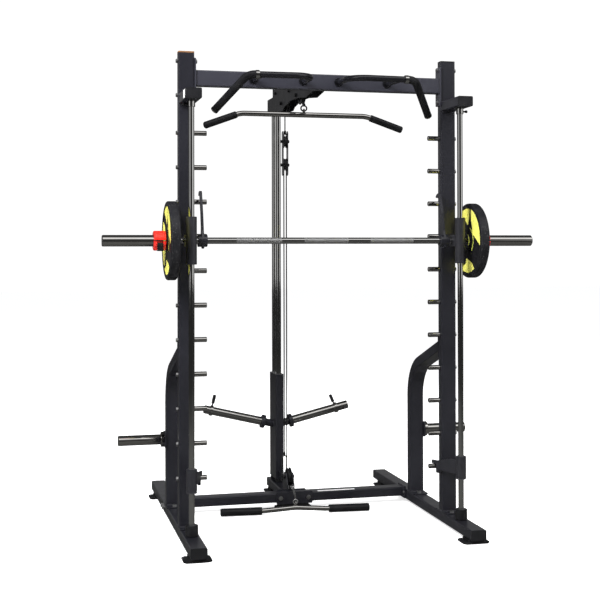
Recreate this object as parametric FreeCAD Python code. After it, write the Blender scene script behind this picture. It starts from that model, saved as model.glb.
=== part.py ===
import FreeCAD, Part
import math
import os

V = FreeCAD.Vector

# ---------------------------------------------------------------- driving dimensions (mm)
Y_MID = 353.0            # shift that puts the origin under the middle of the machine

XU = 603.0               # uprights, guide rods and base rails: distance from the centre plane
TUBE_W = 70.0            # main tube section, wide side
TUBE_D = 45.0            # main tube section, narrow side
TUBE_T = 2.5             # tube wall
TUBE_R = 6.0             # tube corner radius

H_TOP = 2122.0           # top of the upright tubes (a 6 mm cap closes them)
RAIL_Z0, RAIL_Z1 = 18.0, 63.0
RAIL_Y0, RAIL_Y1 = -342.0, 1048.0

PEG_Z0 = 273.7           # lowest bar catch peg
PEG_PITCH = 150.0
PEG_N = 11
PEG_R = 11.0
PEG_Y = 22.5
PEG_X_IN = 512.0         # free end of a peg

BAR_Y, BAR_Z = -83.0, 1304.0
BAR_R = 14.0
SLEEVE_R = 24.5
SLEEVE_X0, SLEEVE_X1 = 650.0, 972.0
ROD_Y = -143.0           # bar guide rods
ROD_R = 12.5
HOUSING_R = 23.0
HOUSING_H = 202.0

PLATE_R, PLATE_T, PLATE_X0 = 168.0, 42.0, 660.0

CROSS_Y0, CROSS_Y1, CROSS_Z0, CROSS_Z1 = 523.0, 593.0, 31.0, 76.0
BRACE_Y = 461.5

TOWER_Y1, TOWER_Y2 = 866.0, 970.0   # tower guide rods
CAR_Z0, CAR_Z1 = 80.0, 620.0        # weight carriage at its lowest
HORN_TILT = 13.5

TOP_AXLE_Z = 2000.0
TOP_FRONT_Y, TOP_REAR_Y = 355.0, 675.0
PULLEY_R, GROOVE_R, PULLEY_W = 45.0, 38.0, 18.0
BLOCK_Y = 713.0
BLOCK_Z1, BLOCK_Z2 = 1693.0, 1812.0  # lower and upper axle of the floating block
BPULLEY_R, BGROOVE_R = 33.0, 28.0
LOW_Y, LOW_Z = 647.0, 131.0
CABLE_R = 3.0

HOOK_OPEN = 12.5         # degrees the catch hooks stand forward of the pegs at rest

os.makedirs("parts", exist_ok=True)
NODES = {}


def add(name, *shapes):
    NODES.setdefault(name, []).extend(shapes)


# ---------------------------------------------------------------- helpers
def box(x0, x1, y0, y1, z0, z1):
    return Part.makeBox(x1 - x0, y1 - y0, z1 - z0, V(x0, y0, z0))


def rbox(x0, x1, y0, y1, z0, z1, axis, r):
    """Box with its four edges along axis rounded."""
    b = box(x0, x1, y0, y1, z0, z1)
    d = {"x": V(1, 0, 0), "y": V(0, 1, 0), "z": V(0, 0, 1)}[axis]
    es = []
    for e in b.Edges:
        t = e.tangentAt(e.FirstParameter)
        if abs(abs(t.dot(d)) - 1) < 1e-6:
            es.append(e)
    return b.makeFillet(r, es)


def rtube(x0, x1, y0, y1, z0, z1, axis, t=TUBE_T, r=TUBE_R):
    """Hollow rounded rectangular tube along axis, open at both ends."""
    o = rbox(x0, x1, y0, y1, z0, z1, axis, r)
    i = [x0 + t, x1 - t, y0 + t, y1 - t, z0 + t, z1 - t]
    if axis == "x":
        i[0], i[1] = x0 - 1, x1 + 1
    if axis == "y":
        i[2], i[3] = y0 - 1, y1 + 1
    if axis == "z":
        i[4], i[5] = z0 - 1, z1 + 1
    return o.cut(rbox(*i, axis, max(r - t, 1.0)))


def cyl(p, d, r, h):
    return Part.makeCylinder(r, h, V(*p), V(*d))


def cx(x0, x1, y, z, r):
    return Part.makeCylinder(r, x1 - x0, V(x0, y, z), V(1, 0, 0))


def cy(y0, y1, x, z, r):
    return Part.makeCylinder(r, y1 - y0, V(x, y0, z), V(0, 1, 0))


def cz(z0, z1, x, y, r):
    return Part.makeCylinder(r, z1 - z0, V(x, y, z0), V(0, 0, 1))


def fuse(*s):
    out = s[0]
    for k in s[1:]:
        out = out.fuse(k)
    return out.removeSplitter()


def cut(a, *s):
    for k in s:
        a = a.cut(k)
    return a


def soften(shape, r, test):
    """Round the edges for which test(edge) is true."""
    es = [e for e in shape.Edges if test(e)]
    return shape.makeFillet(r, es) if es else shape


def is_circle(e, r=None, at=None, axis=0):
    c = e.Curve
    if not hasattr(c, "Radius"):
        return False
    if r is not None and abs(c.Radius - r) > 1e-4:
        return False
    if at is not None and abs(c.Center[axis] - at) > 1e-4:
        return False
    return True


def rod_x(x0, x1, y, z, r, ch=1.0):
    s = cx(x0, x1, y, z, r)
    return s.makeChamfer(ch, [e for e in s.Edges if is_circle(e, r)])


def rod_z(z0, z1, x, y, r, ch=1.0):
    s = cz(z0, z1, x, y, r)
    return s.makeChamfer(ch, [e for e in s.Edges if is_circle(e, r)])


def ring_x(x0, x1, y, z, ro, ri, ch=1.0):
    s = rod_x(x0, x1, y, z, ro, ch)
    return s.cut(cx(x0 - 1, x1 + 1, y, z, ri))


def ring_z(z0, z1, x, y, ro, ri, ch=1.0):
    s = rod_z(z0, z1, x, y, ro, ch)
    return s.cut(cz(z0 - 1, z1 + 1, x, y, ri))


def hexhead(p, d, af=17.0, h=7.0, washer=11.0):
    """Hexagon bolt head on a washer; p is on the clamped face, d points away from it."""
    d = V(*d)
    p = V(*p)
    w = Part.makeCylinder(washer, 1.6, p, d)
    ref = V(0, 0, 1) if abs(d.z) < 0.9 else V(1, 0, 0)
    u = d.cross(ref).normalize()
    v = d.cross(u).normalize()
    rr = af / math.sqrt(3)
    pts = []
    for k in range(7):
        a = math.radians(60 * k)
        pts.append(p + d * 1.6 + u * (rr * math.cos(a)) + v * (rr * math.sin(a)))
    f = Part.Face(Part.makePolygon(pts))
    b = f.extrude(d * h)
    return w.fuse(b)


def polyprism_x(pts, x0, x1):
    """Prism along X over a polygon of (y, z) points."""
    w = Part.makePolygon([V(x0, y, z) for y, z in pts] + [V(x0, pts[0][0], pts[0][1])])
    return Part.Face(w).extrude(V(x1 - x0, 0, 0))


def path_wire(pts, radii):
    """Straight runs joined by tangent arcs; radii has one value for each inner point."""
    P = [V(*p) for p in pts]
    edges = []
    cur = P[0]
    for i in range(1, len(P) - 1):
        a = (P[i - 1] - P[i]).normalize()
        b = (P[i + 1] - P[i]).normalize()
        turn = math.pi - a.getAngle(b)
        t = radii[i - 1] * math.tan(turn / 2)
        s, e = P[i] + a * t, P[i] + b * t
        bis = (a + b).normalize()
        c = P[i] + bis * (radii[i - 1] / math.cos(turn / 2))
        m = c - bis * radii[i - 1]
        if (s - cur).Length > 1e-4:
            edges.append(Part.LineSegment(cur, s).toShape())
        edges.append(Part.Arc(s, m, e).toShape())
        cur = e
    edges.append(Part.LineSegment(cur, P[-1]).toShape())
    return Part.Wire(edges)


def pipe(wire, r):
    e = wire.Edges[0]
    p = e.valueAt(e.FirstParameter)
    t = e.tangentAt(e.FirstParameter)
    prof = Part.Wire([Part.Circle(p, t, r).toShape()])
    s = wire.makePipeShell([prof], True, True)
    want = math.pi * r * r * wire.Length
    if s.Volume < 0:
        s.reverse()
    if abs(s.Volume / want - 1) > 0.02:
        print("pipe volume off", s.Volume, want)
    return s


def mir(shape):
    """Mirror image across the centre plane x = 0."""
    return shape.mirror(V(0, 0, 0), V(1, 0, 0))


def both(name, shape):
    add(name, shape, mir(shape))


# ---------------------------------------------------------------- base rails
xi, xo = XU - TUBE_W / 2, XU + TUBE_W / 2      # inner and outer faces of the uprights


def rail():
    r = rtube(xi, xo, RAIL_Y0, RAIL_Y1, RAIL_Z0, RAIL_Z1, "y")
    return r


add("base_rail_right", rail())
add("base_rail_left", mir(rail()))


def plug_y(x0, x1, z0, z1, y, out, t=3.5, depth=14):
    """Plastic end plug for a tube along Y; out is -1 or 1, the way it faces."""
    ya, yb = (y - t, y) if out < 0 else (y, y + t)
    cap = rbox(x0, x1, ya, yb, z0, z1, "y", TUBE_R)
    g = TUBE_T + 0.05
    yc, yd = (y, y + depth) if out < 0 else (y - depth, y)
    return fuse(cap, rbox(x0 + g, x1 - g, yc, yd, z0 + g, z1 - g, "y", 4.2))


for yy, o in ((RAIL_Y0, -1), (RAIL_Y1, 1)):
    both("end_caps", plug_y(xi, xo, RAIL_Z0, RAIL_Z1, yy, o))

# rubber feet: a flat pad with clipped corners under each rail end
def foot(xc, y0, y1, w=118.0, up=RAIL_Z0, blk=72.0):
    c = 12.0
    x0, x1 = xc - w / 2, xc + w / 2
    pts = [V(x0 + c, y0, 0), V(x1 - c, y0, 0), V(x1, y0 + c, 0), V(x1, y1 - c, 0),
           V(x1 - c, y1, 0), V(x0 + c, y1, 0), V(x0, y1 - c, 0), V(x0, y0 + c, 0)]
    pad = Part.Face(Part.makePolygon(pts + [pts[0]])).extrude(V(0, 0, 7))
    return fuse(pad, rbox(xc - blk / 2, xc + blk / 2, y0 + 8, y1 - 8, 7, up, "z", 6))


both("foot_pads", foot(XU, -330, -236))
both("foot_pads", foot(XU, 890, 984))
add("foot_pads", foot(0, CROSS_Y0 + 2, CROSS_Y1 - 2, w=176, up=CROSS_Z0, blk=150))
add("foot_pads", foot(0, 900, 985))

# ---------------------------------------------------------------- uprights
def upright():
    t = rtube(xi, xo, 0, TUBE_D, RAIL_Z1 + 6, H_TOP, "z")
    base = rbox(xi, xo, -45, 90, RAIL_Z1, RAIL_Z1 + 6, "z", 8)
    return fuse(t, base)


add("upright_right", upright())
add("upright_left", mir(upright()))
g = TUBE_T + 0.05
both("end_caps", fuse(rbox(xi, xo, 0, TUBE_D, H_TOP, H_TOP + 6, "z", TUBE_R),
                      rbox(xi + g, xo - g, g, TUBE_D - g, H_TOP - 14, H_TOP, "z", 4.2)))

# ---------------------------------------------------------------- rear braces
def band(p0, p1, p2, r, h, x0, x1):
    """Constant-width band in the YZ plane along p0-p1-p2 with one bend, extruded along X."""
    a = V(0, p0[0] - p1[0], p0[1] - p1[1]).normalize()
    b = V(0, p2[0] - p1[0], p2[1] - p1[1]).normalize()
    P1 = V(0, *p1)
    turn = math.pi - a.getAngle(b)
    t = r * math.tan(turn / 2)
    bis = (a + b).normalize()
    c = P1 + bis * (r / math.cos(turn / 2))
    s, e = P1 + a * t, P1 + b * t
    P0, P2 = V(0, *p0), V(0, *p2)
    ns = (s - c).normalize()
    ne = (e - c).normalize()

    def rim(k):
        m = c - bis * (r + k)
        return P0 + ns * k, s + ns * k, m, e + ne * k, P2 + ne * k
    o, i = rim(h), rim(-h)
    off = V(x0, 0, 0)
    L = lambda A, B: Part.LineSegment(A + off, B + off).toShape()
    A = lambda A_, B_, C_: Part.Arc(A_ + off, B_ + off, C_ + off).toShape()
    w = Part.Wire([L(o[0], o[1]), A(o[1], o[2], o[3]), L(o[3], o[4]), L(o[4], i[4]),
                   L(i[4], i[3]), A(i[3], i[2], i[1]), L(i[1], i[0]), L(i[0], o[0])])
    return Part.Face(w).extrude(V(x1 - x0, 0, 0))


def brace():
    slope = -0.3484
    top = (20.0, 830.0)
    corner = (BRACE_Y, top[1] + slope * (BRACE_Y - top[0]))
    o = band((BRACE_Y, RAIL_Z1 + 6), corner, top, 190, TUBE_D / 2, xi, xo)
    i = band((BRACE_Y, RAIL_Z1 - 20), corner, (0.0, top[1] - slope * 20), 190,
             TUBE_D / 2 - TUBE_T, xi + TUBE_T, xo - TUBE_T)
    keep = box(xi - 5, xo + 5, TUBE_D + 6, 800, RAIL_Z1 + 6, 900)
    o = o.common(keep)
    es = []
    for e in o.Edges:
        bb = e.BoundBox
        if bb.XLength < 1e-3 and bb.YMin > TUBE_D + 6 - 1 and bb.ZMin > RAIL_Z1 + 5:
            if bb.ZLength < 1e-3 and abs(bb.ZMin - (RAIL_Z1 + 6)) < 1e-3:
                continue
            if bb.YLength < 1e-3 and abs(bb.YMin - (TUBE_D + 6)) < 1e-3:
                continue
            es.append(e)
    o = o.makeFillet(TUBE_R - 1, es)
    o = o.cut(i)
    base = rbox(xi, xo + 4, BRACE_Y - 78, BRACE_Y + 78, RAIL_Z1, RAIL_Z1 + 6, "z", 8)
    plate = rbox(xi, xo, TUBE_D, TUBE_D + 6, 765, 875, "y", 8)
    horn_plate = rbox(xo, xo + 6, BRACE_Y - 36, BRACE_Y + 36, 338, 410, "x", 8)
    return fuse(o, base, plate, horn_plate)


br = brace()
add("brace_right", br)
add("brace_left", mir(br))

# storage horns on the outer side of each brace
HZ = 374.0
h = fuse(rod_x(xo + 6, 860, BRACE_Y, HZ, 24, 2), rod_x(xo + 6, xo + 22, BRACE_Y, HZ, 35.5, 1.5))
both("storage_horns", h)

# ---------------------------------------------------------------- cross member
cm = rtube(-xi + 6, xi - 6, CROSS_Y0, CROSS_Y1, CROSS_Z0, CROSS_Z1, "x")
fl = rbox(xi - 6, xi, CROSS_Y0 - 17, CROSS_Y1 + 17, 21, 82, "x", 8)
centre = rbox(-90, 90, CROSS_Y0 - 6, CROSS_Y0, 24, 83, "y", 6)
add("cross_member", fuse(cm, fl, mir(fl), centre))

# ---------------------------------------------------------------- top crossbar
cb = rtube(-xi + 6, xi - 6, 0, TUBE_D, 1978, 2048, "x")
tf = rbox(xi - 6, xi, -8, TUBE_D + 8, 1922, 2100, "x", 8)
add("top_crossbar", fuse(cb, tf, mir(tf)))

# ---------------------------------------------------------------- chin-up handles
CH_Y = -205.0
cw = path_wire([(82, -5, 2013), (82, CH_Y, 2007), (371, CH_Y, 2005), (486, -50, 1871)], [85, 55])
tube = pipe(cw, 13.5)
post_d = V(0, CH_Y + 3, -8).normalize()
foot1 = cyl((82, 0, 2013), (0, -1, 0), 20, 6)
foot2 = fuse(cyl((308, 0, 2013), tuple(post_d), 12, 200), cyl((308, 0, 2013), (0, -1, 0), 20, 6))
handle = tube.fuse(foot1).fuse(foot2)
handle = handle.common(box(0, 800, -260, 0, 1700, 2200)).removeSplitter()
both("chin_handles", handle)


def sub_wire(wire, skip_x):
    """The last part of the path, beyond x = skip_x on its long straight run."""
    out = []
    for e in wire.Edges:
        a, b = e.valueAt(e.FirstParameter), e.valueAt(e.LastParameter)
        if max(a.x, b.x) <= skip_x:
            continue
        if min(a.x, b.x) < skip_x and e.Curve.TypeId == "Part::GeomLine":
            lo, hi = (a, b) if a.x < b.x else (b, a)
            k = (skip_x - lo.x) / (hi.x - lo.x)
            out.append(Part.LineSegment(lo + (hi - lo) * k, hi).toShape())
        elif min(a.x, b.x) >= skip_x - 1:
            out.append(e)
    return Part.Wire(out)


# grip rubber from the bright ring to the open end
gwire = sub_wire(cw, 339.0)
grip = pipe(gwire, 17.0).cut(pipe(gwire, 13.53))
both("chin_grips", grip)
e_last = cw.Edges[-1]
pe, te = e_last.valueAt(e_last.LastParameter), e_last.tangentAt(e_last.LastParameter)
both("chrome_rings", Part.makeCylinder(17.6, 6, pe + te * 0.1, te))
r_mid = sub_wire(cw, 338.9).Edges[0]
ra, rd = r_mid.valueAt(r_mid.FirstParameter), r_mid.tangentAt(r_mid.FirstParameter)
if rd.x < 0:
    rd = rd * -1
    ra = r_mid.valueAt(r_mid.LastParameter)
ring = Part.makeCylinder(18.5, 15, ra - rd * 15.1, rd).cut(Part.makeCylinder(13.53, 40, ra - rd * 30, rd))
both("chrome_rings", ring)

# ---------------------------------------------------------------- bar catch pegs
for k in range(PEG_N):
    z = PEG_Z0 + PEG_PITCH * k
    p = fuse(rod_x(PEG_X_IN, xi, PEG_Y, z, PEG_R, 1.5), )
    both("bar_catch_pegs", p)
    both("frame_bolts", hexhead((xo, PEG_Y, z), (1, 0, 0)))

# ---------------------------------------------------------------- guide rod brackets, rods, sockets
BR_Y0, BR_Z0, BR_Z1 = -209.0, 1896.0, 1941.0
b = rtube(xi, xo, BR_Y0, 0, BR_Z0, BR_Z1, "y")
b = b.cut(cz(BR_Z0 - 2, BR_Z0 + 10, XU, ROD_Y, ROD_R + 0.05))
both("rod_brackets", b)
both("end_caps", plug_y(xi, xo, BR_Z0, BR_Z1, BR_Y0, -1))
both("guide_rods", rod_z(RAIL_Z1 + 4, BR_Z1 - TUBE_T, XU, ROD_Y, ROD_R, 1))
sock = fuse(rod_z(RAIL_Z1, 111, XU, ROD_Y, 27, 2))
both("end_caps", sock.cut(cz(RAIL_Z1 + 4, 130, XU, ROD_Y, ROD_R + 0.03)))
col = ring_z(1868, 1892, XU, ROD_Y, 16.5, ROD_R + 0.03, 1)
knob = cx(XU + 15.5, XU + 27, ROD_Y, 1880, 4).fuse(cx(XU + 27, XU + 35, ROD_Y, 1880, 6))
both("chrome_rings", fuse(col, knob))

# ---------------------------------------------------------------- bolts of the frame
for yy in (-26, 71):
    both("frame_bolts", hexhead((XU, yy, RAIL_Z1 + 6), (0, 0, 1)))
for yy in (BRACE_Y - 52, BRACE_Y + 52):
    both("frame_bolts", hexhead((XU, yy, RAIL_Z1 + 6), (0, 0, 1)))
for zz in (2087, 1938):
    both("frame_bolts", hexhead((xo, PEG_Y, zz), (1, 0, 0)))
    both("frame_bolts", hexhead((xi - 6, PEG_Y, zz), (-1, 0, 0)))
for yy in (534, 582):
    both("frame_bolts", hexhead((xo, yy, 40), (1, 0, 0)))
for yy in (515, 601):
    both("frame_bolts", hexhead((xi - 6, yy, 52), (-1, 0, 0), 13, 5, 8))
for xx in (-70, 70):
    add("frame_bolts", hexhead((xx, CROSS_Y0 - 6, 53), (0, -1, 0)))
for zz in (778, 862):
    both("frame_bolts", hexhead((XU - 20, TUBE_D + 6, zz), (0, 1, 0), 13, 5, 8))
    both("frame_bolts", hexhead((XU + 20, TUBE_D + 6, zz), (0, 1, 0), 13, 5, 8))

# ---------------------------------------------------------------- tower base
tb = rtube(-TUBE_W / 2, TUBE_W / 2, CROSS_Y1 + 6, 1000, RAIL_Z0, RAIL_Z1, "y")
tbf = rbox(-75, 75, CROSS_Y1, CROSS_Y1 + 6, 20, 80, "y", 6)
cheek = polyprism_x([(600, 63), (600, 100), (625, 152), (669, 152), (690, 100), (700, 63)], 14, 19)
cheek = cheek.cut(cx(0, 40, LOW_Y, LOW_Z, 5))
add("tower_base", fuse(tb, tbf, cheek, mir(cheek)))
add("end_caps", plug_y(-TUBE_W / 2, TUBE_W / 2, RAIL_Z0, RAIL_Z1, 1000, 1))
for yy in (TOWER_Y1, TOWER_Y2):
    add("foot_pads", ring_z(RAIL_Z1, CAR_Z0 - 0.3, 0, yy, 20, ROD_R + 0.05, 2))
    add("tower_rods", rod_z(RAIL_Z1, 2050, 0, yy, ROD_R, 1))

# ---------------------------------------------------------------- tower top bracket
side = polyprism_x([(51, 1977), (51, 2046), (170, 2060), (500, 2082), (876, 2102), (876, 2056), (1002, 2056),
                    (1002, 1972), (640, 1960), (612, 1974), (482, 1988), (325, 1983), (170, 1965)], 23, 28)
hole = [cx(0, 40, TOP_FRONT_Y, TOP_AXLE_Z, 5), cx(0, 40, TOP_REAR_Y, TOP_AXLE_Z, 5)]
side = cut(side, *hole)
front_fl = rbox(-60, 60, TUBE_D, TUBE_D + 6, 1980, 2046, "y", 6)
web = rbox(-23, 23, 51, 170, 1992, 2040, "y", 4)
head = box(-23, 23, 842, 1000, 2010, 2054)
lower = box(-23, 23, 842, 1000, 1974, 1982)
head = cut(fuse(head), cz(1990, 2051, 0, TOWER_Y1, ROD_R + 0.03), cz(1990, 2051, 0, TOWER_Y2, ROD_R + 0.03))
lower = cut(lower, cz(1970, 1990, 0, TOWER_Y1, ROD_R + 0.3), cz(1970, 1990, 0, TOWER_Y2, ROD_R + 0.3))
add("tower_top_bracket", fuse(side, mir(side), front_fl, web, head, lower))
for sx in (1, -1):
    for yy, zz in ((806, 2068), (503, 2040)):
        add("frame_bolts", hexhead((sx * 28, yy, zz), (sx, 0, 0), 13, 6, 9))
    for yy in (TOP_FRONT_Y, TOP_REAR_Y):
        add("frame_bolts", hexhead((sx * 28, yy, TOP_AXLE_Z), (sx, 0, 0), 16, 7, 10))
    add("frame_bolts", hexhead((sx * 19, LOW_Y, LOW_Z), (sx, 0, 0), 16, 7, 10))
for yy, zz, hw in ((TOP_FRONT_Y, TOP_AXLE_Z, 28), (TOP_REAR_Y, TOP_AXLE_Z, 28), (LOW_Y, LOW_Z, 19)):
    add("frame_bolts", cx(-hw, hw, yy, zz, 4.95))

# ---------------------------------------------------------------- pulleys
def pulley(y, z, ro, rg, w, bore=5.0):
    """Grooved wheel turning about an X axle."""
    s = Part.makeCylinder(ro, w, V(-w / 2, y, z), V(1, 0, 0))
    grv = [V(-w / 2 + 3, ro + 1, 0), V(-3.3, rg - 3.3, 0), V(3.3, rg - 3.3, 0), V(w / 2 - 3, ro + 1, 0)]
    # V groove turned about the axle
    prof = Part.Face(Part.makePolygon(grv + [grv[0]]))
    prof = prof.revolve(V(0, 0, 0), V(1, 0, 0), 360)
    prof.translate(V(0, y, z))
    s = s.cut(prof)
    rec = Part.makeCylinder(ro * 0.72, 3, V(-w / 2 - 0.01, y, z), V(1, 0, 0)).cut(
        Part.makeCylinder(ro * 0.34, 3, V(-w / 2 - 0.01, y, z), V(1, 0, 0)))
    rec2 = rec.mirror(V(0, 0, 0), V(1, 0, 0))
    s = cut(s, rec, rec2)
    return s.cut(cx(-w, w, y, z, bore))


add("top_pulley_front", pulley(TOP_FRONT_Y, TOP_AXLE_Z, PULLEY_R, GROOVE_R, PULLEY_W))
add("top_pulley_rear", pulley(TOP_REAR_Y, TOP_AXLE_Z, PULLEY_R, GROOVE_R, PULLEY_W))
add("low_pulley", pulley(LOW_Y, LOW_Z, PULLEY_R, GROOVE_R, PULLEY_W))
add("block_pulley_lower", pulley(BLOCK_Y, BLOCK_Z1, BPULLEY_R, BGROOVE_R, PULLEY_W))
add("block_pulley_upper", pulley(BLOCK_Y, BLOCK_Z2, BPULLEY_R, BGROOVE_R, PULLEY_W))

# floating block: two side plates, two axles, a swivel stud at the top
pl = rbox(10.5, 13.5, BLOCK_Y - 17, BLOCK_Y + 17, 1639, 1864, "x", 12)
pl = cut(pl, cx(0, 20, BLOCK_Y, BLOCK_Z1, 4.95), cx(0, 20, BLOCK_Y, BLOCK_Z2, 4.95))
add("floating_block", pl, mir(pl))
for zz in (BLOCK_Z1, BLOCK_Z2):
    a = fuse(cx(-22, 22, BLOCK_Y, zz, 4.95), cx(13.5, 21, BLOCK_Y, zz, 8), cx(-21, -13.5, BLOCK_Y, zz, 8))
    add("floating_block", a)
st = fuse(box(-10.5, 10.5, BLOCK_Y - 10, BLOCK_Y + 10, 1846.5, 1851.5), cz(1851.5, 1866, 0, BLOCK_Y, 6))
add("floating_block", st)

# ---------------------------------------------------------------- cables
def cable(pts, radii):
    return pipe(path_wire(pts, radii), CABLE_R)


F, R_, G = TOP_FRONT_Y, TOP_REAR_Y, GROOVE_R
zt = TOP_AXLE_Z + G
LAT_Y = F - G
lat_pts = [(0, LAT_Y, 1959), (0, LAT_Y, zt), (0, R_ + G, zt), (0, R_ + G, 1866)]
add("lat_cable", cable(lat_pts, [G, G]))
RUN_B, RUN_A = BLOCK_Y - BGROOVE_R, BLOCK_Y + BGROOVE_R
# from the stop ball under the low pulley and up over the block's lower pulley
RING_Y = 592.0
low_pts = [(0, RING_Y, LOW_Z - G), (0, RUN_B, LOW_Z - G), (0, RUN_B, BLOCK_Z1 + BGROOVE_R - 0.001),
           (0, RUN_A, BLOCK_Z1 + BGROOVE_R - 0.001), (0, RUN_A, BLOCK_Z1 - 2)]
add("lift_cable_low", cable(low_pts, [G, BGROOVE_R - 0.01, BGROOVE_R - 0.01]))
EYE_Z = 91.0
add("lift_cable_run", fuse(cz(232, BLOCK_Z1 - 2, 0, RUN_A, CABLE_R)))

# ---------------------------------------------------------------- weight carriage
c0 = rbox(-21, 21, 846, 990, CAR_Z0, CAR_Z1, "z", 4)
c1 = rbox(-18, 18, 849, 987, CAR_Z0 + 6, CAR_Z1 - 6, "z", 2)
car = c0.cut(c1)
for yy in (TOWER_Y1, TOWER_Y2):
    car = car.cut(cz(CAR_Z0 - 1, CAR_Z1 + 1, 0, yy, 16.5))
lug = polyprism_x([(846.5, 84), (846.5, 120), (760, 104), (728, 104), (728, 80.5), (760, 80.5)], -4, 4)
lug = lug.cut(cx(-10, 10, RUN_A, EYE_Z + 1, 7))
tl = math.radians(HORN_TILT)
HX, HZ0 = 21.0, 357.0


def horn(s0, s1, r, ch=1.0):
    c = Part.makeCylinder(r, s1 - s0, V(0, 0, s0), V(0, 0, 1))
    c = c.makeChamfer(ch, [e for e in c.Edges if is_circle(e, r)])
    c.rotate(V(0, 0, 0), V(0, 1, 0), 90 - HORN_TILT)
    c.translate(V(HX, 918, HZ0))
    return c


root = horn(-6, 45, 19).cut(box(-30, HX - 0.01, 800, 1000, 300, 420))
rr = fuse(root, horn(45, 64, 34, 2))
car = fuse(car, lug, rr, mir(rr))
add("weight_carriage", car)
for yy in (TOWER_Y1, TOWER_Y2):
    for z0 in (CAR_Z0 - 0.0, CAR_Z1 - 30):
        bsh = cz(z0, z0 + 30, 0, yy, 16.45).cut(cz(z0 - 1, z0 + 31, 0, yy, ROD_R + 0.05))
        add("carriage_bushes", bsh)
tube_h = horn(64.05, 372, 21.5, 2)
both("carriage_horns", tube_h)


def clip(s0, turn):
    """Spring ring round the horn with a rubber-tipped lever; turn leans the lever back about the horn."""
    ringb = Part.makeCylinder(27, 13, V(0, 0, s0), V(0, 0, 1)).cut(Part.makeCylinder(21.8, 40, V(0, 0, s0 - 10), V(0, 0, 1)))
    lev = Part.makeCylinder(4, 14, V(-24, 0, s0 + 6.5), V(-1, 0, 0))
    knob_ = Part.makeCylinder(8.5, 46, V(-37, 0, s0 + 6.5), V(-1, 0, 0))
    knob_ = knob_.makeFillet(5, [e for e in knob_.Edges if is_circle(e, 8.5)])
    c = fuse(ringb, lev, knob_)
    c.rotate(V(0, 0, 0), V(0, 0, 1), turn)
    c.rotate(V(0, 0, 0), V(0, 1, 0), 90 - HORN_TILT)
    c.translate(V(HX, 918, HZ0))
    return c


add("horn_clip_right", clip(300.0, -42))
add("horn_clip_left", mir(clip(328.0, 0)))

# ---------------------------------------------------------------- bar carriage
hz0, hz1 = BAR_Z - HOUSING_H / 2, BAR_Z + HOUSING_H / 2
hs = rod_z(hz0, hz1, XU, ROD_Y, HOUSING_R, 2)
blk = rbox(XU - 19, XU + 19, ROD_Y, BAR_Y + 25, BAR_Z - 26, BAR_Z + 26, "x", 8)
hs = fuse(hs, blk)
hs = cut(hs, cz(hz0 - 1, hz1 + 1, XU, ROD_Y, 17.05), cx(XU - 40, XU + 40, BAR_Y, BAR_Z, BAR_R + 0.05))
both("slide_housings", hs)
for z0 in (hz0 + 6, hz1 - 66):
    both("linear_bushings", ring_z(z0, z0 + 60, XU, ROD_Y, 17.0, ROD_R + 0.05, 0.5))

add("bar_shaft", rod_x(-962, 962, BAR_Y, BAR_Z, BAR_R, 1))

# catch hooks: local axes r (towards the peg) and t (forward, away from it)
dy, dz = PEG_Y - BAR_Y, PEG_Z0 + PEG_PITCH * 8 - BAR_Z
PEG_DIST = math.hypot(dy, dz)
PHI = math.degrees(math.atan2(dz, dy))


def hook():
    lo = PEG_DIST + PEG_R + 0.4
    pts = [(0, -13), (24, -13), (60, PEG_R + 0.4 - 8), (120, PEG_R + 0.4), (lo - 6, PEG_R + 0.4), (lo - 2, 9), (lo, 5),
           (lo, -12), (lo + 3, -14), (lo + 7, -14), (lo + 12, -5), (lo + 13, 10), (lo + 9, 23),
           (lo, 32), (120, 31), (40, 24), (0, 26), (-34, 10), (-36, 0), (-30, -8)]
    w = Part.makePolygon([V(0, a, b_) for a, b_ in pts] + [V(0, pts[0][0], pts[0][1])])
    s = Part.Face(w).extrude(V(10, 0, 0))
    hub = Part.makeCylinder(26.5, 39, V(-14.5, 0, 0), V(1, 0, 0))
    s = s.fuse(hub)
    s = s.cut(Part.makeCylinder(BAR_R + 0.03, 80, V(-30, 0, 0), V(1, 0, 0)))
    s.rotate(V(0, 0, 0), V(1, 0, 0), PHI + HOOK_OPEN)
    s.translate(V(542, BAR_Y, BAR_Z))
    return s


both("bar_hooks", hook())

# ---------------------------------------------------------------- sleeves, plates, clamps
sl = fuse(rod_x(SLEEVE_X0, SLEEVE_X1, BAR_Y, BAR_Z, SLEEVE_R, 3), rod_x(SLEEVE_X0 - 2, 658, BAR_Y, BAR_Z, 38, 1.5))
sl = sl.cut(cx(600, 966, BAR_Y, BAR_Z, BAR_R + 0.05)).cut(
    cx(759, 761, BAR_Y, BAR_Z, 40).cut(cx(758, 762, BAR_Y, BAR_Z, SLEEVE_R - 0.6)))
add("sleeve_right", sl)
add("sleeve_left", mir(sl))

px0, px1 = PLATE_X0, PLATE_X0 + PLATE_T
HUB_R = 36.0
disc = cx(px0, px1, BAR_Y, BAR_Z, PLATE_R)
disc = disc.makeFillet(8, [e for e in disc.Edges if is_circle(e, PLATE_R)])
disc = disc.cut(cx(px0 - 1, px1 + 1, BAR_Y, BAR_Z, HUB_R + 0.05))


def annulus(x0, x1, ro, ri):
    return cx(x0, x1, BAR_Y, BAR_Z, ro).cut(cx(x0 - 1, x1 + 1, BAR_Y, BAR_Z, ri))


disc = cut(disc, annulus(px0 - 1, px0 + 4, 149, 48), annulus(px1 - 4, px1 + 1, 149, 48))
# steel hub ring that the rubber is moulded round
hub = annulus(px0 + 0.5, px1 - 0.5, HUB_R, 25.3)


def arc_pts(ro, a0, a1, n=14):
    return [(ro * math.cos(math.radians(a0 + (a1 - a0) * k / n)), ro * math.sin(math.radians(a0 + (a1 - a0) * k / n)))
            for k in range(n + 1)]


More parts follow.
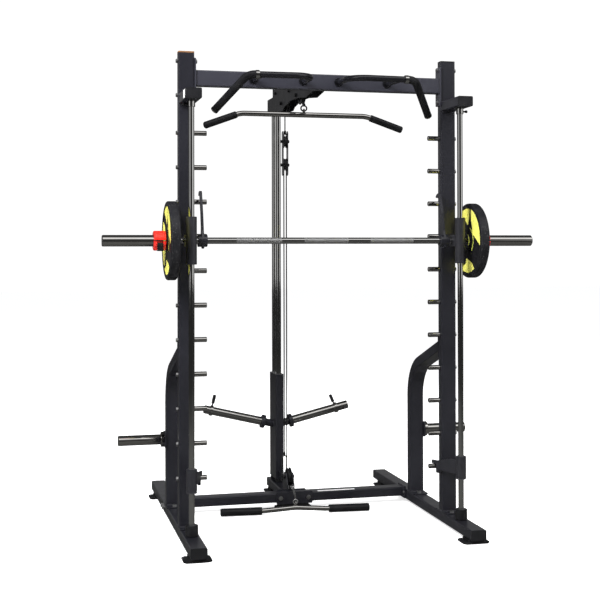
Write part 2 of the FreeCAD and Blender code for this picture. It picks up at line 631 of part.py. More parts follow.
# face inserts, as outlines measured forwards (towards -Y) and up from the bore
INSERTS = [
    arc_pts(145, 74, -9) + [(93, 10), (60, 29), (54, 56), (42, 92)],
    arc_pts(145, 122, 82) + [(18, 102), (1, 70), (-24, 92)],
    arc_pts(145, -60, -121) + [(-24, -104), (-13, -80), (46, -100)],
    arc_pts(145, 228, 146) + [(-78, 62), (-58, 20), (-56, -30), (-66, -78)],
]


def insert(outline, x0, x1, grow=0.0):
    cyx = sum(p[0] for p in outline) / len(outline)
    czx = sum(p[1] for p in outline) / len(outline)
    k = 1 + grow / 60.0
    return polyprism_x([(BAR_Y - (cyx + (a_ - cyx) * k), BAR_Z + czx + (b_ - czx) * k) for a_, b_ in outline], x0, x1)


for outline in INSERTS:
    for xa, xb in ((px0 + 4, px0 + 7.2), (px1 - 7.2, px1 - 4)):
        first = xa == px0 + 4
        disc = disc.cut(insert(outline, xa - (0.5 if first else 0), xb + (0 if first else 0.5), 0.06))
        xs = (px0 + 2.4, px0 + 7.15) if first else (px1 - 7.15, px1 - 2.4)
        ins = insert(outline, xs[0], xs[1])
        add("plate_inserts_right", ins)
        add("plate_inserts_left", mir(ins))
add("plate_right", disc, hub)
add("plate_left", mir(disc), mir(hub))

# clamp collar outside each plate, with a flip lever
cl0, cl1 = 705.0, 757.0
cc = rod_x(cl0, cl1, BAR_Y, BAR_Z, 42, 3)
cc = cut(cc, cx(cl0 - 1, cl1 + 1, BAR_Y, BAR_Z, 24.6), box(cl0 - 1, cl1 + 1, BAR_Y - 60, BAR_Y - 20, BAR_Z - 3, BAR_Z + 3))
cc = cut(cc, box(cl0 + 14, cl1 - 12, BAR_Y - 60, BAR_Y - 30.3, BAR_Z - 38, BAR_Z - 2))
pivot = cx(cl0 + 14, cl1 - 12, BAR_Y - 36, BAR_Z - 13, 2.5)
cc = cc.fuse(pivot)
add("clamp_collar_right", cc)
add("clamp_collar_left", mir(cc))
lv = fuse(cx(cl0 + 14.5, cl1 - 12.5, BAR_Y - 36, BAR_Z - 13, 5.2),
          rbox(cl0 + 14.5, cl1 - 12.5, BAR_Y - 47, BAR_Y - 38, BAR_Z - 44, BAR_Z - 13, "x", 3))
lv = lv.cut(cx(cl0, cl1, BAR_Y - 36, BAR_Z - 13, 2.55))
add("clamp_lever_right", lv)
add("clamp_lever_left", mir(lv))

# ---------------------------------------------------------------- safety stoppers
SZ0, SZ1 = 247.0, 345.0


def stopper():
    core = ring_z(SZ0, SZ1, XU, ROD_Y, 17.0, ROD_R + 0.05, 0.5)
    core = core.fuse(ring_z(SZ0 - 4, SZ0, XU, ROD_Y, 22, ROD_R + 0.05, 0.5))
    body = ring_z(SZ0 + 0.3, SZ1, XU, ROD_Y, 23, 17.05, 2)
    # arm from the sleeve to the lowest peg, a notch over the peg
    px, py = 540.0, PEG_Y
    ang = math.degrees(math.atan2(py - ROD_Y, px - XU))
    d = math.hypot(py - ROD_Y, px - XU)
    top = PEG_Z0 + PEG_R + 0.4
    pts = [(18.5, 262), (18.5, 322), (70, 322), (d - 16, top + 16), (d + 14, top + 16), (d + 14, top),
           (d - 15, top), (d - 15, 246), (d - 34, 246), (d - 40, 262)]
    w = Part.makePolygon([V(a, -5, z) for a, z in pts] + [V(pts[0][0], -5, pts[0][1])])
    arm = Part.Face(w).extrude(V(0, 10, 0))
    arm.rotate(V(0, 0, 0), V(0, 0, 1), ang)
    arm.translate(V(XU, ROD_Y, 0))
    arm = arm.cut(cz(200, 400, XU, ROD_Y, 23.05))
    return core, [body, arm]


co, bo = stopper()
add("stopper_core_right", co)
add("stopper_core_left", mir(co))
add("safety_stopper_right", *bo)
add("safety_stopper_left", *[mir(b_) for b_ in bo])

# ---------------------------------------------------------------- lat bar and its hook
LBZ = 1902.0
EAR_Z = LBZ + 17.0


def link_x(yc, zc, wx, hz, r):
    """Closed oval link in the XZ plane; wx and hz are its centreline half-sizes."""
    k = min(wx, hz) * 0.98
    a = pipe(path_wire([(0, yc, zc + hz), (wx, yc, zc + hz), (wx, yc, zc - hz), (0, yc, zc - hz)], [k, k]), r)
    b_ = pipe(path_wire([(0, yc, zc - hz), (-wx, yc, zc - hz), (-wx, yc, zc + hz), (0, yc, zc + hz)], [k, k]), r)
    return a.fuse(b_).removeSplitter()


# stop ball of the high cable, with the ring that carries the bar
lk = link_x(LAT_Y, 1933.0, 14, 12, 3.6)
lball = Part.makeSphere(8, V(0, LAT_Y, 1950.5))
neck = cz(1943, 1951, 0, LAT_Y, 5)
add("lat_hook", fuse(lk, neck, lball))
ear = rbox(-2.5, 2.5, LAT_Y - 12, LAT_Y + 12, LBZ + 4, EAR_Z + 12, "x", 9)
ear = ear.cut(cx(-10, 10, LAT_Y, EAR_Z, 6.5))
ws = path_wire([(-475, LAT_Y - 25, LBZ - 63), (-307, LAT_Y, LBZ), (307, LAT_Y, LBZ), (475, LAT_Y - 25, LBZ - 63)], [120, 120])
lb = pipe(ws, 12.5).fuse(ear).removeSplitter()
add("lat_bar", lb)
d1 = V(475 - 307, -25, -63).normalize()


def lat_grip():
    a = V(475, LAT_Y - 25, LBZ - 63) + d1 * 6
    s = Part.makeCylinder(16.5, 166, a, d1 * -1)
    s = s.makeFillet(9, [e for e in s.Edges if is_circle(e, 16.5) and (e.Curve.Center - a).Length < 1])
    return s.cut(pipe(ws, 12.53))


both("lat_bar_grips", lat_grip())

# ---------------------------------------------------------------- low bar, ring and hook
LOWB_X, LOWB_Y, LOWB_Z, LOWB_ROT = -21.0, 411.0, 33.0, -4.5
EYE_Y = LOWB_Y + 4.0
lz0 = LOW_Z - G
ball = Part.makeSphere(8, V(0, RING_Y - 8.5, lz0))


def low_chain():
    # eye ring over the cross member, then a long snap hook reaching down to the ring of the bar
    r1 = Part.makeTorus(13, 3.4, V(0, 562, lz0 + 0.5), V(1, 0, 0))
    n1 = cy(574, RING_Y - 10, 0, lz0, 4.5)
    w2 = path_wire([(0, 552, lz0 + 2), (-6, 520, lz0 + 1), (LOWB_X + 3, EYE_Y + 26, 82), (LOWB_X, EYE_Y, 66)], [40, 14])
    r2 = pipe(w2, 4.2)
    eye = Part.makeTorus(10.5, 3.2, V(LOWB_X, EYE_Y, 56.5), V(0, 1, 0))
    return fuse(ball, n1, r1, r2, eye)


add("low_hook", low_chain())


def low_bar():
    w3 = path_wire([(-355, 0, 19.3), (-150, 0, 19.8), (0, 0, LOWB_Z - 3), (150, 0, 19.8), (355, 0, 19.3)], [300, 220, 300])
    s = pipe(w3, 12.0)
    lug_ = rbox(-3, 3, -8, 16, LOWB_Z + 3, LOWB_Z + 26, "x", 5)
    return s, lug_


lbar, lug_ = low_bar()
lug_ = lug_.cut(cx(-10, 10, 4, LOWB_Z + 13, 5.2))
sgr = []
for sx in (1, -1):
    a = V(sx * 361, 0, 19.3)
    gcy = Part.makeCylinder(18.5, 198, a, V(-sx, 0, 0))
    gcy = gcy.makeFillet(6, [e for e in gcy.Edges if is_circle(e, 18.5) and abs(abs(e.Curve.Center.x) - 361) < 1])
    gcy = gcy.cut(pipe(path_wire([(-355.02, 0, 19.3), (-150, 0, 19.8), (0, 0, LOWB_Z - 3), (150, 0, 19.8), (355.02, 0, 19.3)], [300, 220, 300]), 12.04))
    sgr.append(gcy)
lbar = lbar.fuse(lug_).removeSplitter()
for s in [lbar] + sgr:
    s.rotate(V(0, 0, 0), V(0, 0, 1), LOWB_ROT)
    s.translate(V(LOWB_X, LOWB_Y, 0))
add("low_bar", lbar)
add("low_bar_grips", *sgr)

# the snap link hanging between the lift cable and the carriage lug
lk2 = link_x(RUN_A, 155, 12, 64, 3.4)
eye2 = cz(220.5, 236, 0, RUN_A, 6).cut(cz(226, 240, 0, RUN_A, CABLE_R + 0.02))
add("snap_link", lk2.fuse(eye2).removeSplitter())

# ---------------------------------------------------------------- write the pieces
tot = 0
for name, shapes in NODES.items():
    solids = []
    for s in shapes:
        solids.extend(s.Solids)
    bad = [s for s in solids if not s.isValid() or s.Volume <= 0]
    if bad:
        print("BAD", name, len(bad), [round(s.Volume, 1) for s in bad])
    shp = Part.makeCompound(solids) if len(solids) > 1 else solids[0]
    shp = shp.copy()
    shp.translate(V(0, -Y_MID, 0))
    shp.exportStep("parts/%s.step" % name)
    bb = shp.BoundBox
    tot += 1
    print("%-22s %3d  x %.1f %.1f  y %.1f %.1f  z %.1f %.1f  v %.0f" % (
        name, len(solids), bb.XMin, bb.XMax, bb.YMin, bb.YMax, bb.ZMin, bb.ZMax, shp.Volume / 1000))
print(tot, "nodes")
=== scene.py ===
import bpy
import bmesh
import math
import random
from mathutils import Vector, Matrix


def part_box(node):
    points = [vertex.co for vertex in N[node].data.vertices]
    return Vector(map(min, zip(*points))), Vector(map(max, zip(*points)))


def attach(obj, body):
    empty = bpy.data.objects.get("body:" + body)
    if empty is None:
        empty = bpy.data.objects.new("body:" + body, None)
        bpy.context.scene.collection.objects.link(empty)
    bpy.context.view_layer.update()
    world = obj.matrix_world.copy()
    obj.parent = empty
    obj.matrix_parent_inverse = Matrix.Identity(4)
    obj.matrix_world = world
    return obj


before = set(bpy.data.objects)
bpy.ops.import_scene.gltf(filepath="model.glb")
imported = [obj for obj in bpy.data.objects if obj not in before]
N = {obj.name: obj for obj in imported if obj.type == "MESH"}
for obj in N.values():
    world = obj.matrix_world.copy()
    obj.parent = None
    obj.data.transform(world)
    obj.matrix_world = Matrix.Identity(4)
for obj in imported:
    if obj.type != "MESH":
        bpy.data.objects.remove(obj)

random.seed(7)
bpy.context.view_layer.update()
YM = 0.353


def P(x, y, z):
    """A point given in the machine's own millimetres, in the row frame in metres."""
    return Vector((x / 1000.0, y / 1000.0 - YM, z / 1000.0))


# ------------------------------------------------------------------ camera
def camera():
    cam = bpy.data.cameras.new("cam")
    ob = bpy.data.objects.new("cam", cam)
    bpy.context.scene.collection.objects.link(ob)
    yaw, pitch, roll = (math.radians(v) for v in (13.7816, 0.613, -0.1178))
    f = Vector((math.sin(yaw) * math.cos(pitch), math.cos(yaw) * math.cos(pitch), math.sin(pitch)))
    r = Vector((math.cos(yaw), -math.sin(yaw), 0))
    u = r.cross(f)
    r2 = math.cos(roll) * r + math.sin(roll) * u
    u2 = -math.sin(roll) * r + math.cos(roll) * u
    m = Matrix((r2, u2, -f)).transposed().to_4x4()
    m.translation = P(-1304.33, -4920.09, 1269.21)
    ob.matrix_world = m
    cam.sensor_width = 36
    cam.lens = 36 * 1141.98 / 600
    cam.shift_x = 0.0
    cam.shift_y = -63.56 / 600
    cam.clip_end = 200
    bpy.context.scene.camera = ob
    return ob


cam = camera()


# ------------------------------------------------------------------ material helpers
def mat(name):
    m = bpy.data.materials.new(name)
    m.use_nodes = True
    nt = m.node_tree
    nt.nodes.clear()
    out = nt.nodes.new("ShaderNodeOutputMaterial")
    b = nt.nodes.new("ShaderNodeBsdfPrincipled")
    nt.links.new(b.outputs[0], out.inputs[0])
    return m, nt, b


def node(nt, kind, **kw):
    n = nt.nodes.new(kind)
    for k, v in kw.items():
        if k.startswith("i_"):
            n.inputs[int(k[2:])].default_value = v
        else:
            setattr(n, k, v)
    return n


def coords(nt, scale=(1, 1, 1), rot=(0, 0, 0)):
    tc = node(nt, "ShaderNodeTexCoord")
    mp = node(nt, "ShaderNodeMapping")
    mp.inputs["Scale"].default_value = scale
    mp.inputs["Rotation"].default_value = rot
    nt.links.new(tc.outputs["Object"], mp.inputs["Vector"])
    return mp.outputs[0]


def noise(nt, vec, scale, detail=4.0, rough=0.5, dist=0.0):
    n = node(nt, "ShaderNodeTexNoise")
    n.inputs["Scale"].default_value = scale
    n.inputs["Detail"].default_value = detail
    n.inputs["Roughness"].default_value = rough
    n.inputs["Distortion"].default_value = dist
    nt.links.new(vec, n.inputs["Vector"])
    return n.outputs["Fac"]


def ramp(nt, fac, stops):
    r = node(nt, "ShaderNodeValToRGB")
    e = r.color_ramp.elements
    while len(e) < len(stops):
        e.new(0.5)
    for k, (p, c) in enumerate(stops):
        e[k].position = p
        c = (c, c, c) if isinstance(c, (int, float)) else c
        e[k].color = (*c, 1)
    nt.links.new(fac, r.inputs[0])
    return r.outputs[0]


def mixc(nt, fac, a, b, mode="MIX"):
    m = node(nt, "ShaderNodeMix", data_type="RGBA", blend_type=mode)
    for sock, v in ((m.inputs[0], fac), (m.inputs[6], a), (m.inputs[7], b)):
        if hasattr(v, "is_output"):
            nt.links.new(v, sock)
        elif isinstance(v, (int, float)):
            sock.default_value = v
        else:
            sock.default_value = (*v, 1)
    return m.outputs[2]


def maths(nt, op, a, b=None, c=None, clamp=False):
    m = node(nt, "ShaderNodeMath", operation=op, use_clamp=clamp)
    for k, v in enumerate((a, b, c)):
        if v is None:
            continue
        if hasattr(v, "is_output"):
            nt.links.new(v, m.inputs[k])
        else:
            m.inputs[k].default_value = v
    return m.outputs[0]


def bump(nt, b, height, strength=0.2, dist=0.001, chain=None):
    n = node(nt, "ShaderNodeBump")
    n.inputs["Strength"].default_value = strength
    n.inputs["Distance"].default_value = dist
    nt.links.new(height, n.inputs["Height"])
    if chain is not None:
        nt.links.new(chain, n.inputs["Normal"])
    nt.links.new(n.outputs[0], b.inputs["Normal"])
    return n.outputs[0]


def edge_mask(nt, radius=0.0015):
    """Bright where the surface turns over an edge: the bevelled normal leaves the true one."""
    bev = node(nt, "ShaderNodeBevel", samples=4)
    bev.inputs["Radius"].default_value = radius
    geo = node(nt, "ShaderNodeNewGeometry")
    d = node(nt, "ShaderNodeVectorMath", operation="DOT_PRODUCT")
    nt.links.new(bev.outputs[0], d.inputs[0])
    nt.links.new(geo.outputs["Normal"], d.inputs[1])
    inv = maths(nt, "SUBTRACT", 1.0, d.outputs["Value"])
    return maths(nt, "MULTIPLY", inv, 4.0, clamp=True), bev.outputs[0]


def paint(name, base, lighter, rough=0.42, coat=0.15, peel=0.12):
    m, nt, b = mat(name)
    v = coords(nt)
    big = noise(nt, v, 3.0, 2)
    fine = noise(nt, v, 260.0, 3, 0.6)
    col = mixc(nt, ramp(nt, big, [(0.3, 0.0), (0.75, 1.0)]), base, lighter)
    em, bn = edge_mask(nt)
    wear = maths(nt, "MULTIPLY", em, ramp(nt, noise(nt, v, 45, 4, 0.7), [(0.45, 0.0), (0.7, 1.0)]))
    col = mixc(nt, maths(nt, "MULTIPLY", wear, 0.35), col, (0.16, 0.16, 0.17))
    nt.links.new(col, b.inputs["Base Color"])
    rr = maths(nt, "ADD", maths(nt, "MULTIPLY", noise(nt, v, 22, 3), 0.14), rough - 0.07)
    nt.links.new(rr, b.inputs["Roughness"])
    b.inputs["Coat Weight"].default_value = coat
    b.inputs["Coat Roughness"].default_value = 0.2
    bump(nt, b, fine, peel, 0.0006, bn)
    return m


def metal(name, base, rough=0.1, scratch=0.06, axis="x", dirt=0.0):
    m, nt, b = mat(name)
    b.inputs["Metallic"].default_value = 1.0
    sc = {"x": (3, 160, 160), "z": (160, 160, 3), "y": (160, 3, 160), "n": (60, 60, 60)}[axis]
    v = coords(nt, sc)
    v0 = coords(nt)
    s = noise(nt, v, 6.0, 4, 0.6)
    blotch = noise(nt, v0, 14.0, 4, 0.6)
    col = mixc(nt, ramp(nt, blotch, [(0.35, 0.0), (0.8, 1.0)]), base, tuple(c * 0.86 for c in base))
    nt.links.new(col, b.inputs["Base Color"])
    r = maths(nt, "ADD", maths(nt, "MULTIPLY", s, scratch), maths(nt, "MULTIPLY", blotch, 0.05))
    nt.links.new(maths(nt, "ADD", r, rough - 0.05), b.inputs["Roughness"])
    bump(nt, b, s, 0.03, 0.0003)
    return m


def rubber(name, base, rough=0.6, grain=420.0, strength=0.25, spec=0.35, dust=(0.1, 0.1, 0.1)):
    m, nt, b = mat(name)
    v = coords(nt)
    fine = noise(nt, v, grain, 3, 0.6)
    big = noise(nt, v, 18, 4, 0.6)
    col = mixc(nt, maths(nt, "MULTIPLY", ramp(nt, big, [(0.45, 0.0), (0.85, 1.0)]), 0.3), base, dust)
    nt.links.new(col, b.inputs["Base Color"])
    nt.links.new(maths(nt, "ADD", maths(nt, "MULTIPLY", big, 0.18), rough - 0.09), b.inputs["Roughness"])
    b.inputs["Specular IOR Level"].default_value = spec
    bump(nt, b, fine, strength, 0.0005)
    return m


# ------------------------------------------------------------------ materials
M = {}
M["frame"] = paint("frame_powder_coat", (0.0085, 0.0085, 0.0115), (0.0145, 0.0145, 0.019), 0.34, 0.5)
# Crossbar: the frame's own powder coat given a lighter base, painted light where the top of the machine catches the
# lamps
M["crossbar"] = paint("crossbar_coat_painted_light", (0.019, 0.019, 0.026), (0.031, 0.031, 0.040), 0.34, 0.6)
M["bracket"] = paint("bracket_powder_coat", (0.0045, 0.0045, 0.0055), (0.0085, 0.0085, 0.010), 0.42, 0.1)
M["tube_gloss"] = paint("handle_tube_coat", (0.004, 0.004, 0.005), (0.007, 0.007, 0.009), 0.22, 0.6)
M["chrome_x"] = metal("chrome_bars", (0.68, 0.665, 0.64), 0.07, 0.05, "x")
M["chrome_z"] = metal("chrome_rods", (0.76, 0.755, 0.74), 0.07, 0.05, "z")
M["chrome_n"] = metal("chrome_small", (0.70, 0.69, 0.67), 0.12, 0.06, "n")
M["hook_bright"] = metal("bright_hook", (0.92, 0.92, 0.92), 0.22, 0.08, "n")
# Snap link: chrome given a dark base, a painted dark reflection in place of the surroundings it mirrors
M["link_painted_dark_reflection"] = metal("snap_link_chrome_painted_dark", (0.34, 0.34, 0.35), 0.12, 0.08, "n")
M["zinc"] = metal("zinc_fasteners", (0.62, 0.62, 0.62), 0.30, 0.15, "n")
M["black_bolt"] = metal("black_oxide_fasteners", (0.05, 0.05, 0.053), 0.34, 0.15, "n")
M["bright"] = metal("bright_steel_plate", (0.66, 0.66, 0.68), 0.24, 0.16, "z")
M["rubber"] = rubber("moulded_rubber", (0.006, 0.006, 0.007), 0.6)
M["grip"] = rubber("grip_rubber", (0.005, 0.005, 0.006), 0.46, 900.0, 0.4, 0.4, (0.03, 0.03, 0.032))
M["plastic"] = rubber("moulded_nylon", (0.007, 0.007, 0.008), 0.36, 700.0, 0.12, 0.5, (0.025, 0.025, 0.028))
M["housing"] = rubber("housing_sleeve", (0.016, 0.016, 0.019), 0.36, 600.0, 0.15, 0.5, (0.035, 0.035, 0.04))
M["nylon"] = rubber("nylon_bush", (0.03, 0.03, 0.033), 0.5, 500.0, 0.1, 0.4)


def disc_mat():
    """Rubber disc: grained faces with a thin painted arc, and a tread with shallow steps and pale scuffs."""
    m, nt, b = mat("disc_rubber")
    tc = node(nt, "ShaderNodeTexCoord")
    sep = node(nt, "ShaderNodeSeparateXYZ")
    nt.links.new(tc.outputs["Object"], sep.inputs[0])
    c = P(0, -83, 1304)
    f = maths(nt, "SUBTRACT", c.y, sep.outputs[1])
    u = maths(nt, "SUBTRACT", sep.outputs[2], c.z)
    r = maths(nt, "SQRT", maths(nt, "ADD", maths(nt, "MULTIPLY", f, f), maths(nt, "MULTIPLY", u, u)))
    ang = maths(nt, "ARCTAN2", u, f)

    def between(v, lo, hi):
        return maths(nt, "MULTIPLY", maths(nt, "GREATER_THAN", v, lo), maths(nt, "LESS_THAN", v, hi))
    arc = maths(nt, "MULTIPLY", between(r, 0.0580, 0.0640), between(ang, -0.80, 1.22))
    rim = between(r, 0.1500, 0.1518)
    tread = maths(nt, "GREATER_THAN", r, 0.162)
    ax = maths(nt, "ABSOLUTE", sep.outputs[0])
    step = maths(nt, "ADD", between(ax, 0.6685, 0.6705), between(ax, 0.6915, 0.6935))
    v = coords(nt)
    fine = noise(nt, v, 520.0, 3, 0.6)
    big = noise(nt, v, 18, 4, 0.6)
    specks = ramp(nt, noise(nt, v, 210, 2, 0.5), [(0.66, 0.0), (0.70, 1.0)])
    col = mixc(nt, maths(nt, "MULTIPLY", ramp(nt, big, [(0.45, 0.0), (0.85, 1.0)]), 0.3), (0.007, 0.007, 0.0085), (0.03, 0.03, 0.034))
    col = mixc(nt, maths(nt, "MULTIPLY", maths(nt, "MULTIPLY", specks, tread), 0.5), col, (0.16, 0.16, 0.16))
    col = mixc(nt, maths(nt, "MULTIPLY", rim, 0.5), col, (0.05, 0.05, 0.055))
    col = mixc(nt, maths(nt, "MULTIPLY", arc, maths(nt, "ADD", 0.6, maths(nt, "MULTIPLY", big, 0.5)), clamp=True), col, (0.78, 0.84, 0.14))
    nt.links.new(col, b.inputs["Base Color"])
    nt.links.new(maths(nt, "ADD", maths(nt, "MULTIPLY", big, 0.18), 0.36), b.inputs["Roughness"])
    b.inputs["Specular IOR Level"].default_value = 0.45
    ch = bump(nt, b, fine, 0.22, 0.0005)
    bump(nt, b, maths(nt, "MULTIPLY", maths(nt, "MULTIPLY", step, tread), -1.0), 0.7, 0.002, ch)
    return m


def plain_trim(name, base, other, rough=0.4, metallic=0.0):
    m, nt, b = mat(name)
    v = coords(nt)
    nt.links.new(mixc(nt, noise(nt, v, 60, 4, 0.6), base, other), b.inputs["Base Color"])
    nt.links.new(maths(nt, "ADD", maths(nt, "MULTIPLY", noise(nt, v, 25, 3), 0.2), rough - 0.1), b.inputs["Roughness"])
    b.inputs["Metallic"].default_value = metallic
    bump(nt, b, noise(nt, v, 300, 3), 0.1, 0.0003)
    return m


M["plate"] = disc_mat()
M["cap_brown"] = plain_trim("cap_brown", (0.20, 0.095, 0.035), (0.12, 0.055, 0.022), 0.55)
M["strip"] = plain_trim("blank_strip", (0.80, 0.80, 0.79), (0.70, 0.70, 0.70), 0.35)
M["weld"] = paint("coated_weld", (0.020, 0.020, 0.024), (0.030, 0.030, 0.036), 0.34, 0.3, 0.2)


def yellow():
    m, nt, b = mat("insert_yellow")
    v = coords(nt)
    big = noise(nt, v, 30, 4, 0.6)
    vo = node(nt, "ShaderNodeTexVoronoi", feature="F1")
    vo.inputs["Scale"].default_value = 62.0
    nt.links.new(v, vo.inputs["Vector"])
    dots = maths(nt, "MULTIPLY", ramp(nt, vo.outputs["Distance"], [(0.24, 1.0), (0.30, 0.0)]),
                 ramp(nt, noise(nt, v, 22, 2, 0.5), [(0.50, 0.0), (0.60, 1.0)]))
    scr = ramp(nt, noise(nt, v, 120, 5, 0.65, 0.8), [(0.60, 0.0), (0.64, 1.0)])
    col = mixc(nt, ramp(nt, big, [(0.3, 0.0), (0.7, 1.0)]), (0.78, 0.74, 0.12), (0.68, 0.66, 0.16))
    col = mixc(nt, maths(nt, "MULTIPLY", dots, 0.75), col, (0.16, 0.14, 0.03))
    col = mixc(nt, maths(nt, "MULTIPLY", scr, 0.5), col, (0.30, 0.26, 0.05))
    nt.links.new(col, b.inputs["Base Color"])
    nt.links.new(maths(nt, "ADD", maths(nt, "MULTIPLY", big, 0.15), 0.36), b.inputs["Roughness"])
    bump(nt, b, noise(nt, v, 400, 3), 0.15, 0.0004)
    return m


def red():
    m, nt, b = mat("clamp_red")
    v = coords(nt)
    big = noise(nt, v, 40, 4, 0.6)
    col = mixc(nt, big, (0.72, 0.022, 0.012), (0.52, 0.012, 0.008))
    nt.links.new(col, b.inputs["Base Color"])
    nt.links.new(maths(nt, "ADD", maths(nt, "MULTIPLY", big, 0.15), 0.22), b.inputs["Roughness"])
    b.inputs["Coat Weight"].default_value = 0.3
    bump(nt, b, noise(nt, v, 300, 3), 0.08, 0.0004)
    return m


def cable_mat():
    m, nt, b = mat("coated_cable")
    v = coords(nt)
    w = node(nt, "ShaderNodeTexWave", wave_type="BANDS", bands_direction="DIAGONAL")
    w.inputs["Scale"].default_value = 260.0
    nt.links.new(v, w.inputs["Vector"])
    nt.links.new(mixc(nt, noise(nt, v, 35, 3), (0.004, 0.004, 0.0045), (0.009, 0.009, 0.010)), b.inputs["Base Color"])
    nt.links.new(maths(nt, "ADD", maths(nt, "MULTIPLY", noise(nt, v, 60, 3), 0.2), 0.34), b.inputs["Roughness"])
    b.inputs["Specular IOR Level"].default_value = 0.4
    bump(nt, b, w.outputs["Fac"], 0.08, 0.0003)
    return m


def bar_mat():
    """Chrome bar with crossed knurling on three stretches each side of smooth rings."""
    m, nt, b = mat("bar_knurled")
    b.inputs["Metallic"].default_value = 1.0
    tc = node(nt, "ShaderNodeTexCoord")
    sep = node(nt, "ShaderNodeSeparateXYZ")
    nt.links.new(tc.outputs["Object"], sep.inputs[0])
    x = sep.outputs[0]
    c = P(0, -83, 1304)
    ang = maths(nt, "ARCTAN2", maths(nt, "SUBTRACT", sep.outputs[2], c.z), maths(nt, "SUBTRACT", sep.outputs[1], c.y))
    k = 46.0
    a = maths(nt, "SINE", maths(nt, "ADD", maths(nt, "MULTIPLY", ang, k), maths(nt, "MULTIPLY", x, 2 * math.pi / 0.0036)))
    d = maths(nt, "SINE", maths(nt, "SUBTRACT", maths(nt, "MULTIPLY", ang, k), maths(nt, "MULTIPLY", x, 2 * math.pi / 0.0036)))
    knurl = maths(nt, "MULTIPLY", maths(nt, "MAXIMUM", a, 0.0), maths(nt, "MAXIMUM", d, 0.0))
    ax = maths(nt, "ABSOLUTE", x)

    def band(lo, hi):
        return maths(nt, "MULTIPLY", maths(nt, "GREATER_THAN", ax, lo), maths(nt, "LESS_THAN", ax, hi))
    mask = maths(nt, "ADD", maths(nt, "LESS_THAN", ax, 0.0998), band(0.200, 0.400))
    v = coords(nt, (3, 160, 160))
    s = noise(nt, v, 6.0, 4, 0.6)
    col = mixc(nt, mask, (0.58, 0.575, 0.565), (0.95, 0.95, 0.95))
    nt.links.new(col, b.inputs["Base Color"])
    r = maths(nt, "ADD", maths(nt, "MULTIPLY", s, 0.05), maths(nt, "ADD", 0.06, maths(nt, "MULTIPLY", mask, 0.28)))
    nt.links.new(r, b.inputs["Roughness"])
    bump(nt, b, maths(nt, "MULTIPLY", knurl, mask), 0.8, 0.0008)
    return m


M["insert"] = yellow()
M["clamp"] = red()
M["cable"] = cable_mat()
M["bar"] = bar_mat()


def give(m, *names):
    for n in names:
        o = N[n]
        o.data.materials.clear()
        o.data.materials.append(M[m])


give("frame", "base_rail_left", "base_rail_right", "upright_left", "upright_right", "brace_left", "brace_right",
     "cross_member", "rod_brackets", "tower_base",
     "weight_carriage", "bar_hooks")
give("plastic", "end_caps", "clamp_lever_left", "clamp_lever_right", "top_pulley_front", "top_pulley_rear",
     "low_pulley", "block_pulley_lower", "block_pulley_upper", "horn_clip_left", "horn_clip_right")
give("housing", "slide_housings", "safety_stopper_left", "safety_stopper_right")
give("rubber", "foot_pads")
give("grip", "chin_grips", "lat_bar_grips", "low_bar_grips")
give("chrome_x", "storage_horns", "bar_catch_pegs", "carriage_horns", "sleeve_left", "sleeve_right", "lat_bar", "low_bar")
give("chrome_z", "guide_rods", "tower_rods")
# lighter copy of the frame coat: painted light on the crossbar
give("crossbar", "top_crossbar")
give("bracket", "tower_top_bracket")
give("tube_gloss", "chin_handles")
give("chrome_n", "chrome_rings")
give("hook_bright", "low_hook")
# the chrome snap link carries a painted dark reflection
give("link_painted_dark_reflection", "snap_link")
give("plastic", "lat_hook")
give("bar", "bar_shaft")
give("zinc", "frame_bolts")
give("bright", "floating_block")
give("nylon", "linear_bushings", "carriage_bushes", "stopper_core_left", "stopper_core_right")
give("plate", "plate_left", "plate_right")
give("insert", "plate_inserts_left", "plate_inserts_right")
give("clamp", "clamp_collar_left", "clamp_collar_right")
give("cable", "lat_cable", "lift_cable_low", "lift_cable_run")


def pick(name, m, test):
    """A second material on the faces of a node whose centre passes the test."""
    o = N[name]
    o.data.materials.append(M[m])
    k = len(o.data.materials) - 1
    for p in o.data.polygons:
        if test(p.center, p.normal):
            p.material_index = k


pick("frame_bolts", "black_bolt", lambda c, n: abs(c.x) < 0.05 and (c.z > 1.9 or (c.z < 0.2 and c.y > 0.27)))
pick("end_caps", "cap_brown", lambda c, n: c.x < -0.56 and c.z > 2.1215)
pick("floating_block", "black_bolt", lambda c, n: abs(c.x) > 0.0137 or (abs(c.x) < 0.0103 and c.z > 1.83))
T = math.radians(13.5)


def horn_gap(c, sx):
    """Distance of a point from the axis of a carriage horn."""
    d = Vector((sx * math.cos(T), 0, math.sin(T)))
    q = c - P(sx * 21, 918, 357)
    return (q - d * q.dot(d)).length


pick("horn_clip_left", "chrome_n", lambda c, n: horn_gap(c, -1) < 0.0295)
pick("horn_clip_right", "chrome_n", lambda c, n: horn_gap(c, 1) < 0.0295)
pick("chrome_rings", "black_bolt", lambda c, n: abs(c.x) > 0.615)


# ------------------------------------------------------------------ small pieces on the frame
def link(name, me, m, body="frame"):
    me.materials.append(M[m])
    for p in me.polygons:
        p.use_smooth = True
    o = bpy.data.objects.new(name, me)
    bpy.context.scene.collection.objects.link(o)
    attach(o, body)
    return o


